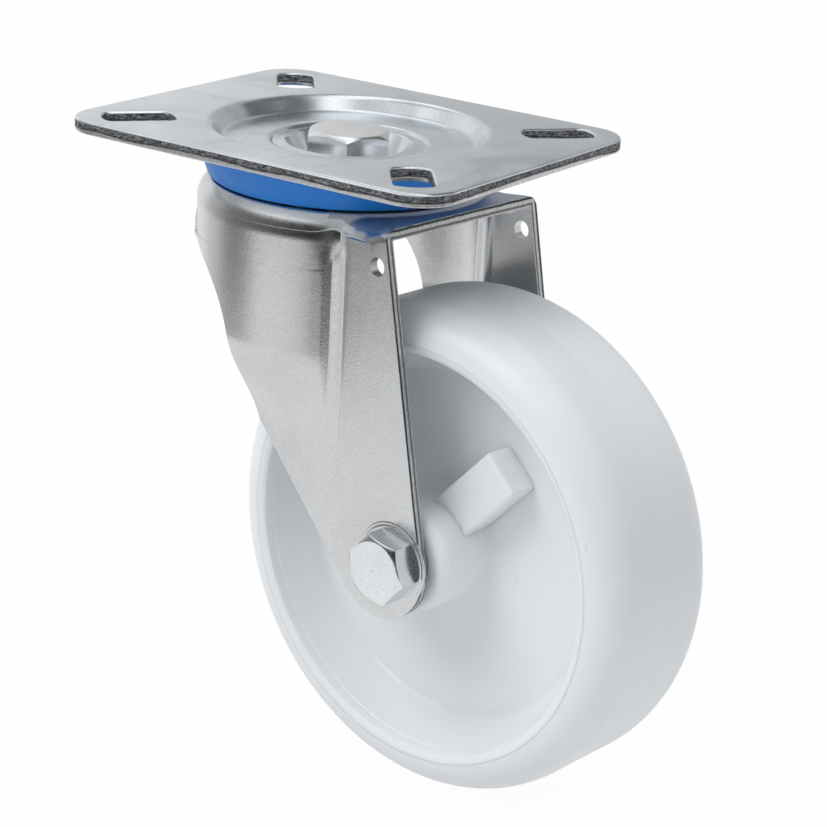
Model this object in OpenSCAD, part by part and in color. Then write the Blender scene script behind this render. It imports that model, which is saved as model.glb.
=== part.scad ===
// Swivel plate castor: a pressed top plate, a turning fork on two rows of balls and a solid nylon wheel.
// The origin is on the swivel axis, level with the mounting face. +Z is up, the plate's long side is X
// and the wheel trails towards +X.

/* [Mounting plate] */
// Length of the plate along X
plate_l = 135; // [120:1:160]
// Width of the plate along Y
plate_w = 110; // [100:1:130]
// Thickness of the plate's sheet
plate_t = 4; // [3.5:0.25:4.5]
// Radius of the plate's corners
plate_corner_r = 13; // [6:1:18]
// Distance between slot centres along X
slot_pitch_x = 100; // [96:1:106]
// Distance between slot centres along Y
slot_pitch_y = 76; // [74:1:84]
// Width of each bolt slot between its straight sides
slot_w = 11.5; // [8:0.5:13]
// Length of each bolt slot over its round ends
slot_l = 22; // [18:0.5:24]
// Turn of each slot's length from the X direction
slot_turn = 51; // [40:1:60]

/* [Pressed dish] */
// Radius at which the dish leaves the flat of the plate
dish_r = 43; // [42:0.5:45]
// Width of the sloping wall of the dish
dish_wall_w = 5; // [4:0.5:6]
// Depth of the ball track step below the mounting face
track_step_z = 4.6; // [4:0.2:5.2]
// Radius at which the track step ends and the inner cone starts
cone_r = 25; // [24:0.5:26]
// Radius of the seat under the king bolt's head
seat_r = 16.4; // [15:0.2:17]
// Depth of that seat below the mounting face
seat_z = 11.2; // [10.9:0.1:11.6]

/* [King bolt] */
// Nominal diameter of the king bolt
king_d = 16; // [14:1:16]
// Width of the king bolt's head across its flats
king_flats = 24; // [22:1:25]
// Height of the king bolt's head
king_head_h = 10; // [8:0.5:10.5]
// Turn of the king bolt's head about its axis
king_head_turn = 4; // [-30:1:30]
// Height of the king nut with its collar
king_nut_h = 13; // [11:0.5:14]
// Length of bolt left past each nut
bolt_spare = 2; // [1:0.5:4]

/* [Swivel bearing] */
// Diameter of the upper balls
upper_ball_d = 9.5; // [9:0.1:10]
// Radius of the upper row of balls
upper_row_r = 33; // [32:0.5:33.5]
// Diameter of the lower balls
lower_ball_d = 6.35; // [6:0.05:7]
// Radius of the lower row of balls
lower_row_r = 19; // [18:0.5:20]
// Play between a ball and its track
ball_play = 0.1; // [0.05:0.05:0.2]
// Free space between neighbouring balls
ball_gap = 0.3; // [0.2:0.1:1]
// Depth of the tracks pressed for the lower balls
lower_track_depth = 0.8; // [0.5:0.1:1]
// Outer radius of the lower race cup
race_r = 26; // [24:0.5:28]
// Thickness of the lower race cup
race_t = 3; // [2.5:0.25:3.5]
// Outer radius of the distance bush round the king bolt
bush_r = 11; // [10:0.25:11.5]

/* [Dust seal] */
// Outer radius of the seal where it meets the plate
seal_top_r = 46; // [45.5:0.1:47]
// Outer radius of the seal at its free lower edge
seal_low_r = 42.2; // [41.8:0.1:43]
// Depth of the seal's lower edge below the mounting face
seal_low_z = 15.4; // [14:0.1:15.6]
// Wall of the seal
seal_wall = 1.4; // [1:0.1:1.6]

/* [Fork] */
// Thickness of the fork's sheet
fork_t = 3; // [2.5:0.25:3.5]
// Depth of the flat crown below the mounting face
crown_z = 17.2; // [17:0.1:18]
// Height of the pressed table in the middle of the crown
table_h = 1.2; // [1:0.1:1.4]
// Radius of that table
table_r = 42.4; // [40:0.2:43]
// Radius of the fork's round shoulder
shoulder_r = 45; // [44:0.5:48]
// Distance over the outsides of the two legs
fork_w = 67; // [66:0.5:72]
// Distance of the crown's front edge from the swivel axis
crown_front = 46.5; // [44:0.5:50]
// Bend radius at the front corners of the crown
front_bend_r = 4; // [4:0.5:5]
// Bend radius of the shoulder at the back
back_bend_r = 6; // [5:0.5:7]
// Distance from the swivel axis to the crease where the flat leg meets the shoulder, along X
fold_x = 28.5; // [27:0.5:31]
// Height of the raised fold beside that crease
fold_h = 1.1; // [0.5:0.1:1.5]
// Width of that fold
fold_w = 2; // [1.5:0.1:3]
// Depth of the skirt at the very back, below the mounting face
skirt_z = 33; // [30:0.5:36]
// Level at which the shoulder starts to flatten towards the leg
flatten_top_z = 45; // [40:1:50]
// Level at which the leg is flat
flatten_low_z = 95; // [90:1:100]
// Distance of the leg's back corner from the swivel axis, along X
knee_x = 0; // [-4:0.5:4]
// Depth of that corner below the mounting face
knee_z = 86.4; // [82:0.2:90]
// Radius of the leg's round end
leg_end_r = 17; // [15:0.5:19]
// Distance from the axle back to the centre of that round end
leg_end_back = 5; // [0:0.5:8]
// Distance from the axle down to the centre of that round end
leg_end_drop = 1.5; // [0:0.5:3]
// Diameter of the small hole near the top of each leg
ear_hole_d = 5.5; // [4:0.25:7]
// Distance of the small hole from the swivel axis
ear_hole_x = 44; // [42:0.5:46]
// Depth of the small hole below the mounting face
ear_hole_z = 28; // [27:0.5:32]
// Radius of the coined seat round the axle hole
coin_r = 12.4; // [11.5:0.1:13]
// Height of the coined seat
coin_h = 0.4; // [0.2:0.1:0.6]

/* [Wheel] */
// Diameter of the wheel
wheel_d = 150; // [146:1:154]
// Width of the tread over both shoulders
tread_w = 50; // [44:1:52]
// Radius of each shoulder of the tread
tread_shoulder_r = 12; // [8:0.5:13]
// Trail from the swivel axis back to the axle
trail = 55; // [52:0.5:58]
// Depth of the wheel's top below the mounting face
wheel_top_z = 40.5; // [39:0.5:44]
// Radius of the lip round the recess in the wheel's side
lip_r = 61; // [59:0.5:63]
// Depth of that lip inside the wheel's side
lip_in = 4.6; // [3:0.2:6]
// Radius at which the recess wall meets the web
web_r = 55.5; // [53:0.5:57]
// Thickness of the web
web_t = 16; // [12:1:20]
// Radius of the hub
hub_r = 16.5; // [15:0.5:20]
// Radius of the hub's rounded rim
hub_round_r = 3.5; // [2:0.5:4]
// Gap between the hub and each leg
hub_gap = 1.75; // [1:0.25:2.5]
// Width of the radial block beside the hub
block_w = 14.5; // [12:0.5:18]
// Distance from the axle to the outer end of that block
block_reach = 41; // [36:1:46]
// Thickness of the block through the wheel
block_t = 36; // [30:1:40]
// Turn of the block about the axle
block_turn = 46.5; // [30:0.5:60]
// Distance of the block's middle line from the axle
block_offset = 3; // [0:0.5:4]

/* [Axle] */
// Nominal diameter of the axle bolt
axle_d = 12; // [10:1:12]
// Width of the axle bolt's head across its flats
axle_flats = 19; // [17:0.5:19]
// Height of the axle bolt's head
axle_head_h = 7.5; // [6:0.5:8]
// Turn of the axle bolt's head about its axis
axle_head_turn = 5; // [-30:1:30]
// Height of the axle nut with its collar
axle_nut_h = 12; // [10:0.5:14]
// Outer diameter of the axle tube
tube_d = 20; // [18:0.5:22]
// Running play between the wheel and the tube, on the radius
wheel_play = 0.15; // [0.1:0.05:0.3]

/* [Pose] */
// Angle of the fork about the swivel axis, as photographed
swivel_rest = -6.8; // [-180:0.2:180]

/* [Hidden] */
$fn = 72;
eps = 0.01;
zinc = [0.76, 0.78, 0.80];
bright_zinc = [0.84, 0.86, 0.88];
ball_steel = [0.62, 0.64, 0.67];
seal_blue = [0.10, 0.36, 0.74];
nylon_white = [0.93, 0.94, 0.95];
locking_nylon = [0.80, 0.84, 0.90];
// Play between a bolt and a hole that it passes through
hole_play = 0.2;
// Play between a turning hole and the bush inside it
turning_play = 1.5;
// Play between a nylon locking ring and its bolt
ring_play = 0.05;
// Space left between the race cup's rim and the crown above it
race_rim_gap = 1.2;
// Height of the chamfer on nuts
hex_chamfer = 1.2;
// Radius of a head's or nut's flat face, as a share of half its width across the flats
hex_face_share = 0.97;
// Chamfer at the end of a bolt
thread_chamfer = 1;
// Share of a nut's height that is its hexagon
nut_hex_share = 0.78;
// Radius of a nut's collar, as a share of half its width across the flats
collar_share = 0.9;
// Wall of that collar
collar_wall = 1.5;
// Height of the lip that holds the nylon ring in the collar
collar_lip = 1;
// Depth by which a cutting shape starts outside the piece it cuts
over = 1;
// Steps in a quarter of a rounded section
round_steps = 6;
// Slope of the dish's wall and of the inner cone's rim
dish_slope = 45;
// Bend radii of the dish: at its brim, at the foot of its wall and where the inner cone starts
brim_r = 2.6;
dish_foot_r = 2.2;
cone_bend_r = 2.4;
// Bend radius under the foot of the dish's wall, and how far the underside of the brim lies outside
dish_under_r = 4;
brim_under = 1.4;
// How far the underside of the cone lies outside its upper side, at its foot and at its rim
cone_foot_under = 2;
cone_rim_under = 1.8;
// Fillets of the wheel: at the hub, at the web's rim, on the lip and on the tread's side
hub_fillet_r = 3;
web_fillet_r = 3.2;
lip_round_r = 0.8;
side_round_r = 4;
// Lean of the recess wall and of the slope that runs out from the lip, in degrees
recess_lean = 28;
side_lean = 40;
// Depth by which the block is rooted in the hub
block_root = 4;
// Bend radius inside the race cup and the wall left at its rim
race_bend_r = 1.2;
race_rim_t = 2.4;
// Height of the seal's stiff brim under the plate, and how far it leans in over that height
seal_brim_h = 3.5;
seal_brim_lean = 1.2;
// Bevel on the seal's free edge
seal_bevel = 0.4;
wheel_r = wheel_d / 2;
axle_z = -wheel_top_z - wheel_r;
half_fork = fork_w / 2;
half_gap = half_fork - fork_t;
table_z = crown_z - table_h;
crown_under_z = table_z + fork_t;
table_root_z = crown_z + fork_t / 2;
floor_under_z = seat_z + plate_t;
upper_ball_z = (track_step_z + plate_t + table_z) / 2;
lower_ball_z = crown_under_z + lower_ball_d / 2 - lower_track_depth;
race_top_z = lower_ball_z + lower_ball_d / 2 - lower_track_depth;
king_nut_z = race_top_z + race_t;
king_end_z = king_nut_z + king_nut_h + bolt_spare;
coin_y = half_fork + coin_h;
axle_end_y = coin_y + axle_nut_h + bolt_spare;
hub_half = half_gap - hub_gap;

// Small helpers
function arc(c, r, a, b, n) = [for (i = [0:n]) c + r * [cos(a + (b - a) * i / n), sin(a + (b - a) * i / n)]];
function mix(a, b, s) = a + (b - a) * s;
function clamp01(s) = max(0, min(1, s));
function smooth(s) = clamp01(s) * clamp01(s) * (3 - 2 * clamp01(s));
function bezier(p, s) =
    p[0] * pow(1 - s, 3) + 3 * p[1] * s * pow(1 - s, 2) + 3 * p[2] * s * s * (1 - s) + p[3] * pow(s, 3);
// The point where a line from p touches a circle, on its left (side 1) or right (side -1) seen from c
function touch(p, c, r, side) =
    let (d = p - c, a = atan2(d[1], d[0]) + side * acos(r / norm(d))) c + r * [cos(a), sin(a)];

module on_fork() {
    rotate([0, 0, swivel_rest]) children();
}

module at_axle() {
    on_fork() translate([trail, 0, axle_z]) children();
}

// A cylinder along Y from y0 to y1
module along_y(r, y0, y1, sides = $fn) {
    translate([0, y1, 0]) rotate([90, 0, 0]) cylinder(h = y1 - y0, r = r, $fn = sides);
}

module ring(r_in, r_out, z0, z1) {
    difference() {
        translate([0, 0, z0]) cylinder(h = z1 - z0, r = r_out);
        translate([0, 0, z0 - over]) cylinder(h = z1 - z0 + 2 * over, r = r_in);
    }
}

// A hexagon bolt with its head's top at z = 0 and its shank running down
module hex_bolt(d, flats, head_h, length, turn) {
    corner_r = flats / 2 / cos(30);
    face_r = flats / 2 * hex_face_share;
    rise = (corner_r - face_r) * tan(30);
    intersection() {
        translate([0, 0, -head_h]) rotate([0, 0, turn]) cylinder(h = head_h, r = corner_r, $fn = 6);
        rotate_extrude() polygon([
            [0, -head_h],
            [corner_r + over, -head_h],
            [corner_r + over, -rise - over * tan(30)],
            [face_r, 0],
            [0, 0]
        ]);
    }
    rotate_extrude() polygon([
        [0, -head_h + eps],
        [0, -length],
        [d / 2 - thread_chamfer, -length],
        [d / 2, -length + thread_chamfer],
        [d / 2, -head_h + eps]
    ]);
}

// A locking nut whose seat is at z = 0 and whose collar holds a nylon ring
module lock_nut(d, flats, height) {
    corner_r = flats / 2 / cos(30);
    hex_h = height * nut_hex_share;
    face_r = flats / 2 * hex_face_share;
    collar_r = flats / 2 * collar_share;
    difference() {
        union() {
            intersection() {
                cylinder(h = hex_h, r = corner_r, $fn = 6);
                rotate_extrude() polygon([
                    [0, 0],
                    [face_r, 0],
                    [corner_r + eps, hex_chamfer],
                    [corner_r + eps, hex_h - hex_chamfer],
                    [face_r, hex_h],
                    [0, hex_h]
                ]);
            }
            rotate_extrude() polygon(concat(
                [[0, hex_h - over], [collar_r, hex_h - over]],
                arc([collar_r - collar_wall, height - collar_wall], collar_wall, 0, 90, round_steps),
                [[0, height]]
            ));
        }
        translate([0, 0, -over]) cylinder(h = height + 2 * over, r = d / 2 + hole_play);
        translate([0, 0, hex_h]) cylinder(h = height - hex_h - collar_lip, r = collar_r - collar_wall);
    }
}

// The nylon ring that fills the collar of a locking nut
module lock_ring(d, flats, height) {
    hex_h = height * nut_hex_share;
    ring(d / 2 + ring_play, flats / 2 * collar_share - collar_wall, hex_h, height - collar_lip);
}

// A ring of separate balls
module ball_row(row_r, d, z) {
    count = floor(360 / (2 * asin((d + ball_gap) / 2 / row_r)));
    for (i = [0:count - 1])
        rotate([0, 0, i * 360 / count]) translate([row_r, 0, -z]) sphere(d = d, $fn = 36);
}

// The groove that a row of balls runs in
module ball_track(row_r, d, z) {
    rotate_extrude() translate([row_r, -z]) circle(r = d / 2 + ball_play, $fn = 20);
}

// Mounting plate
module rounded_slab(l, w, t, r) {
    translate([-l / 2 + r, -w / 2, -t]) cube([l - 2 * r, w, t]);
    translate([-l / 2, -w / 2 + r, -t]) cube([l, w - 2 * r, t]);
    for (x = [-1, 1], y = [-1, 1])
        translate([x * (l / 2 - r), y * (w / 2 - r), -t]) cylinder(h = t, r = r);
}

module bolt_slot() {
    intersection() {
        translate([0, 0, -plate_t - over]) cylinder(h = plate_t + 2 * over, d = slot_l);
        translate([-slot_l, -slot_w / 2, -plate_t - 2 * over]) cube([2 * slot_l, slot_w, plate_t + 4 * over]);
    }
}

// Upper outline of the dish, from the seat out to the flat of the plate
function dish_top() =
    let (foot = dish_r - dish_wall_w - over)
    concat(
        [[seat_r, -seat_z]],
        arc([cone_r, -track_step_z - cone_bend_r], cone_bend_r, 90 + dish_slope, 90, 4),
        arc([foot, -track_step_z + dish_foot_r], dish_foot_r, -90, -90 + dish_slope, 4),
        arc([dish_r, -brim_r], brim_r, 90 + dish_slope, 90, 4)
    );

// Lower outline of the dish, from the seat out to the flat of the plate
function dish_under() =
    concat(
        [[seat_r + cone_foot_under, -floor_under_z]],
        [[cone_r + cone_rim_under, -track_step_z - plate_t]],
        arc([dish_r - dish_wall_w, -track_step_z - plate_t + dish_under_r], dish_under_r, -90, -dish_slope, 5),
        [[dish_r + brim_under, -plate_t]]
    );

module top_plate() {
    color(zinc) difference() {
        union() {
            rounded_slab(plate_l, plate_w, plate_t, plate_corner_r);
            rotate_extrude() polygon(concat(
                [[0, -plate_t / 2], [0, -floor_under_z]],
                dish_under(),
                [[dish_r + brim_under, -plate_t / 2]]
            ));
        }
        rotate_extrude() polygon(concat([[0, over], [0, -seat_z]], dish_top(), [[dish_r, over]]));
        translate([0, 0, -floor_under_z - over]) cylinder(h = floor_under_z, r = king_d / 2 + hole_play);
        ball_track(upper_row_r, upper_ball_d, upper_ball_z);
        for (x = [-1, 1], y = [-1, 1])
            translate([x * slot_pitch_x / 2, y * slot_pitch_y / 2, 0])
                rotate([0, 0, x * y * slot_turn]) bolt_slot();
    }
}

// King bolt and its fastening
module king_bolt() {
    color(bright_zinc) translate([0, 0, king_head_h - seat_z])
        hex_bolt(king_d, king_flats, king_head_h, king_end_z - seat_z + king_head_h, king_head_turn);
}

module king_nut() {
    color(bright_zinc) translate([0, 0, -king_nut_z]) mirror([0, 0, 1])
        lock_nut(king_d, king_flats, king_nut_h);
}

module king_nut_ring() {
    color(locking_nylon) translate([0, 0, -king_nut_z]) mirror([0, 0, 1])
        lock_ring(king_d, king_flats, king_nut_h);
}

module distance_bush() {
    color(zinc) ring(king_d / 2 + hole_play, bush_r, -race_top_z, -floor_under_z);
}

module lower_race() {
    color(zinc) difference() {
        rotate_extrude() polygon(concat(
            [[king_d / 2 + hole_play, -race_top_z - race_t]],
            arc([race_r - race_t, -race_top_z], race_t, -90, 0, round_steps),
            [[race_r, -crown_under_z - race_rim_gap], [race_r - race_rim_t, -crown_under_z - race_rim_gap]],
            arc([race_r - race_t - race_bend_r, -race_top_z + race_bend_r], race_bend_r, 0, -90, 4),
            [[king_d / 2 + hole_play, -race_top_z]]
        ));
        ball_track(lower_row_r, lower_ball_d, lower_ball_z);
    }
}

// Swivel balls and dust seal
module upper_balls() {
    color(ball_steel) on_fork() ball_row(upper_row_r, upper_ball_d, upper_ball_z);
}

module lower_balls() {
    color(ball_steel) on_fork() ball_row(lower_row_r, lower_ball_d, lower_ball_z);
}

module dust_seal() {
    color(seal_blue) rotate_extrude() polygon([
        [seal_top_r, -plate_t],
        [seal_top_r - seal_wall, -plate_t],
        [seal_low_r + seal_brim_lean - seal_wall, -plate_t - seal_brim_h],
        [seal_low_r - seal_wall, -seal_low_z],
        [seal_low_r - seal_bevel, -seal_low_z],
        [seal_low_r, -seal_low_z + seal_bevel]
    ]);
}

// Fork: a sheet whose plan outline runs from the front edge, along the flat leg, over the fold and round
// the shoulder. Rows of that outline are stacked from the crown down to the round end of the leg.
flat_cols = 8;
shoulder_cols = 14;
cols = flat_cols + shoulder_cols;
bend_rows = 5;
wall_rows = 3;
edge_rows = 9;
line_rows = 8;
end_rows = 7;
end_c = [trail - leg_end_back, axle_z - leg_end_drop];
front_top = [crown_front, -crown_z];
knee = [knee_x, -knee_z];
front_touch = touch(front_top, end_c, leg_end_r, -1);
knee_touch = touch(knee, end_c, leg_end_r, 1);
back_line = (knee_touch - knee) / norm(knee_touch - knee);
// Reach of the skirt's curve along the sheet at each of its ends
skirt_pull = 45;
knee_pull = 14;
// Share of the flat leg's columns that keep the front bend radius
bend_lag = 1;
// Share of a low row's length at which its fold lies
low_fold_share = 0.3;
// Power by which the flat leg's columns crowd towards the fold
crowding = 1.2;
skirt_curve = [
    [-shoulder_r, -skirt_z],
    [-shoulder_r + skirt_pull, -skirt_z],
    knee - knee_pull * back_line,
    knee
];
// Angles of the end circle's points, seen from its centre
front_touch_a = atan2(front_touch[1] - end_c[1], front_touch[0] - end_c[0]);
knee_touch_a = atan2(knee_touch[1] - end_c[1], knee_touch[0] - end_c[0]);
// Angle at which the back edge of the last row lies on that circle
end_a = -98;
wall_top_z = -crown_z - max(front_bend_r, back_bend_r) - over / 2;

function front_x(z) =
    z < front_touch[1] ? end_c[0] + sqrt(max(0, pow(leg_end_r, 2) - pow(z - end_c[1], 2)))
    : mix(front_top[0], front_touch[0], (z - front_top[1]) / (front_touch[1] - front_top[1]));
function fold_fade(z) = 1 - smooth((-z - flatten_top_z) / (flatten_low_z - flatten_top_z));

// Every row is [z, x of the back edge]
wall_list = [for (i = [0:wall_rows]) [mix(wall_top_z, -skirt_z, i / wall_rows), -shoulder_r]];
edge_list = [for (i = [1:edge_rows]) let (p = bezier(skirt_curve, i / edge_rows)) [p[1], p[0]]];
line_list = [for (i = [1:line_rows]) let (p = mix(knee, knee_touch, i / line_rows)) [p[1], p[0]]];
end_list = [
    for (i = [1:end_rows])
        let (a = mix(knee_touch_a < 0 ? knee_touch_a : knee_touch_a - 360, end_a, i / end_rows))
        [end_c[1] + leg_end_r * sin(a), end_c[0] + leg_end_r * cos(a)]
];
rows = concat(wall_list, edge_list, line_list, end_list);

// The side of the sheet as a height over the flat leg, at x on the row at z
function shoulder_y(x) = sqrt(max(0, pow(shoulder_r, 2) - x * x));
function fold_bump(x, z) = fold_h * fold_fade(z) * exp(-pow((x - fold_x - fold_w) / fold_w, 2));

// Outer outline of one row, as plan points from the front edge to the back edge
function row_points(z, x_back) =
    let (
        x_front = front_x(z),
        x_fold = max(fold_x, mix(x_back, x_front, low_fold_share)),
        round_row = x_fold < shoulder_r - over && x_back < fold_x,
        a0 = round_row ? acos(x_fold / shoulder_r) : 0,
        a1 = round_row ? acos(max(-1, x_back / shoulder_r)) : 0
    )
    [
        for (i = [0:cols])
            i <= flat_cols
            ? let (s = i / flat_cols, x = mix(x_front, x_fold, 1 - pow(1 - s, crowding)))
                [x, -half_fork - (i == flat_cols ? 0 : fold_bump(x, z))]
            : let (
                s = (i - flat_cols) / shoulder_cols,
                x = round_row ? shoulder_r * cos(mix(a0, a1, s)) : mix(x_fold, x_back, s),
                y = shoulder_y(x),
                w = fold_fade(z)
            )
                [x, y < half_fork && w == 1 ? -y : -half_fork - w * max(0, y - half_fork)]
    ];

// Unit normals of a plan outline, pointing out of the fork
function row_normals(p, closes) = [
    for (i = [0:cols])
        i == 0 ? [0, -1]
        : i == cols && closes ? [-1, 0]
        : let (d = p[min(cols, i + 1)] - p[i - 1]) [-d[1], d[0]] / norm(d)
];

function inner_points(p, n, t) = [for (i = [0:cols]) p[i] - t * n[i]];

top_row = row_points(wall_top_z, -shoulder_r);
top_normals = row_normals(top_row, true);
function bend_r(i) = mix(front_bend_r, back_bend_r, smooth(i / flat_cols - bend_lag));
function bend_row(step, inset) = [
    for (i = [0:cols])
        let (
            r = bend_r(i) - inset,
            a = 90 * (1 - step / bend_rows),
            p = top_row[i] - top_normals[i] * (inset + r * (1 - cos(a))),
            z = -crown_z - inset - r * (1 - sin(a))
        )
        [i == 0 ? front_x(z) : p[0], p[1], z]
];
function wall_row(k, inset) =
    let (
        z = rows[k][0],
        p = row_points(z, rows[k][1]),
        n = row_normals(p, k <= wall_rows),
        q = inner_points(p, n, inset)
    )
    [for (i = [0:cols]) [q[i][0], q[i][1], z]];

function half_grid(inset) = concat(
    [for (s = [0:bend_rows]) bend_row(s, inset)],
    [for (k = [0:len(rows) - 1]) wall_row(k, inset)]
);
function flatten(list) = [for (row = list) for (p = row) p];
function mirrored(list) = [for (p = list) [p[0], -p[1], p[2]]];

module fork_sheet() {
    near_out = flatten(half_grid(0));
    near_in = flatten(half_grid(fork_t));
    size = len(near_out);
    w = cols + 1;
    row_count = bend_rows + 1 + len(rows);
    // The last row that runs all the way round the back
    closed = bend_rows + 1 + wall_rows;
    // Index of a point: side 0 near, 1 far; layer 0 outer, 1 inner
    function at(side, layer, r, c) =
        (side == 1 && c == cols && r <= closed ? 0 : 2 * side * size) + layer * size + r * w + c;
    function turned(side, f) = side == 0 ? f : [f[2], f[1], f[0]];
    function two(side, a, b, c, d) = [turned(side, [a, b, c]), turned(side, [a, c, d])];
    skin = [
        for (side = [0, 1], r = [0:row_count - 2], c = [0:cols - 1])
            for (f = concat(
                two(side, at(side, 0, r, c), at(side, 0, r + 1, c), at(side, 0, r + 1, c + 1), at(side, 0, r, c + 1)),
                two(side, at(side, 1, r, c), at(side, 1, r, c + 1), at(side, 1, r + 1, c + 1), at(side, 1, r + 1, c))
            )) f
    ];
    front_edge = [
        for (side = [0, 1], r = [0:row_count - 2])
            for (f = two(side, at(side, 0, r, 0), at(side, 1, r, 0), at(side, 1, r + 1, 0), at(side, 0, r + 1, 0))) f
    ];
    back_edge = [
        for (side = [0, 1], r = [closed:row_count - 2])
            for (f = two(
                side,
                at(side, 0, r, cols), at(side, 0, r + 1, cols), at(side, 1, r + 1, cols), at(side, 1, r, cols)
            )) f
    ];
    low_edge = [
        for (side = [0, 1], c = [0:cols - 1])
            for (f = two(
                side,
                at(side, 0, row_count - 1, c), at(side, 1, row_count - 1, c),
                at(side, 1, row_count - 1, c + 1), at(side, 0, row_count - 1, c + 1)
            )) f
    ];
    crown = [
        for (c = [0:cols - 1])
            for (f = concat(
                two(0, at(0, 0, 0, c), at(0, 0, 0, c + 1), at(1, 0, 0, c + 1), at(1, 0, 0, c)),
                two(1, at(0, 1, 0, c), at(0, 1, 0, c + 1), at(1, 1, 0, c + 1), at(1, 1, 0, c))
            )) if (f[0] != f[1] && f[1] != f[2] && f[0] != f[2]) f
    ];
    crown_edge = two(0, at(0, 0, 0, 0), at(1, 0, 0, 0), at(1, 1, 0, 0), at(0, 1, 0, 0));
    polyhedron(
        points = concat(near_out, near_in, mirrored(near_out), mirrored(near_in)),
        faces = concat(skin, front_edge, back_edge, low_edge, crown, crown_edge)
    );
}

module fork() {
    color(zinc) on_fork() difference() {
        union() {
            fork_sheet();
            rotate_extrude() polygon(concat(
                [[0, -table_root_z], [table_r, -table_root_z]],
                arc([table_r - table_h, -table_z - table_h], table_h, 0, 90, 3),
                [[0, -table_z]]
            ));
            translate([trail, 0, axle_z]) {
                along_y(coin_r, -coin_y, -half_fork + over);
                along_y(coin_r, half_fork - over, coin_y);
            }
        }
        translate([0, 0, -crown_z - fork_t - over]) cylinder(h = table_h + over, r = table_r - fork_t - over);
        translate([0, 0, -crown_under_z - over]) cylinder(h = fork_t + 2 * over, r = bush_r + turning_play);
        ball_track(upper_row_r, upper_ball_d, upper_ball_z);
        ball_track(lower_row_r, lower_ball_d, lower_ball_z);
        translate([trail, 0, axle_z]) along_y(axle_d / 2 + hole_play, -coin_y - over, coin_y + over);
        translate([ear_hole_x, 0, -ear_hole_z]) along_y(ear_hole_d / 2, -coin_y - over, coin_y + over);
    }
}

// Axle
module axle_bolt() {
    color(bright_zinc) at_axle() rotate([90, 0, 0]) translate([0, 0, coin_y + axle_head_h])
        hex_bolt(axle_d, axle_flats, axle_head_h, axle_head_h + coin_y + axle_end_y, -axle_head_turn);
}

module axle_nut() {
    color(bright_zinc) at_axle() translate([0, coin_y, 0]) rotate([-90, 0, 0])
        lock_nut(axle_d, axle_flats, axle_nut_h);
}

module axle_nut_ring() {
    color(locking_nylon) at_axle() translate([0, coin_y, 0]) rotate([-90, 0, 0])
        lock_ring(axle_d, axle_flats, axle_nut_h);
}

module axle_tube() {
    color(zinc) at_axle() rotate([90, 0, 0])
        ring(axle_d / 2 + hole_play, tube_d / 2, -half_gap, half_gap);
}

// Wheel: half of its section as [radius, distance from the middle plane]
function wheel_half() = concat(
    [[tube_d / 2 + wheel_play, hub_half]],
    arc([hub_r - hub_round_r, hub_half - hub_round_r], hub_round_r, 90, 0, round_steps),
    arc([hub_r + hub_fillet_r, web_t / 2 + hub_fillet_r], hub_fillet_r, 180, 270, 4),
    arc([web_r - web_fillet_r, web_t / 2 + web_fillet_r], web_fillet_r, -90, -recess_lean, 4),
    arc([lip_r + lip_round_r, tread_w / 2 - lip_in], lip_round_r, 180, 90 + recess_lean, 3),
    arc([wheel_r - tread_shoulder_r + 1, tread_w / 2 - side_round_r], side_round_r, 90 + side_lean, 90, 4),
    arc([wheel_r - tread_shoulder_r, tread_w / 2 - tread_shoulder_r], tread_shoulder_r, 80, 0, 10)
);

module wheel() {
    half = wheel_half();
    section = concat(half, [for (i = [len(half) - 1:-1:0]) [half[i][0], -half[i][1]]]);
    color(nylon_white) at_axle() union() {
        rotate([90, 0, 0]) rotate_extrude($fn = 144) polygon(section);
        rotate([0, -block_turn, 0]) difference() {
            translate([hub_r - block_root, -block_t / 2, block_offset - block_w / 2])
                cube([block_reach - hub_r + block_root, block_t, block_w]);
            along_y(hub_r - block_root / 2, -block_t, block_t);
        }
    }
}

top_plate();
king_bolt();
king_nut();
king_nut_ring();
distance_bush();
lower_race();
dust_seal();
upper_balls();
lower_balls();
fork();
axle_bolt();
axle_nut();
axle_nut_ring();
axle_tube();
wheel();
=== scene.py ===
import math
import bpy
import bmesh
import numpy as np
from mathutils import Matrix, Vector
from mathutils.geometry import delaunay_2d_cdt


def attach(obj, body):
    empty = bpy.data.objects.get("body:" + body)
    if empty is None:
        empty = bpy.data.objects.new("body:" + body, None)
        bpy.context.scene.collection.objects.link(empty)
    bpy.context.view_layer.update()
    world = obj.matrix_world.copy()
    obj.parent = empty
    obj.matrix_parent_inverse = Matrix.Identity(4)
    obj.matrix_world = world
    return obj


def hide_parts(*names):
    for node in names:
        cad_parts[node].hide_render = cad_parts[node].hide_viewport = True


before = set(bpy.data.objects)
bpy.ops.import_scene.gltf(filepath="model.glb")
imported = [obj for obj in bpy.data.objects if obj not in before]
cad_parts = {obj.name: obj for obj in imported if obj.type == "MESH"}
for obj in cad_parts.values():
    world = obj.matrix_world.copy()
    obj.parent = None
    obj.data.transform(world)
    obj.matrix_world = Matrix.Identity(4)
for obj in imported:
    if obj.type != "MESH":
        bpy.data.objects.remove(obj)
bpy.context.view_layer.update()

MM = 0.001
TURN = math.radians(-6.8)

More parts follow.
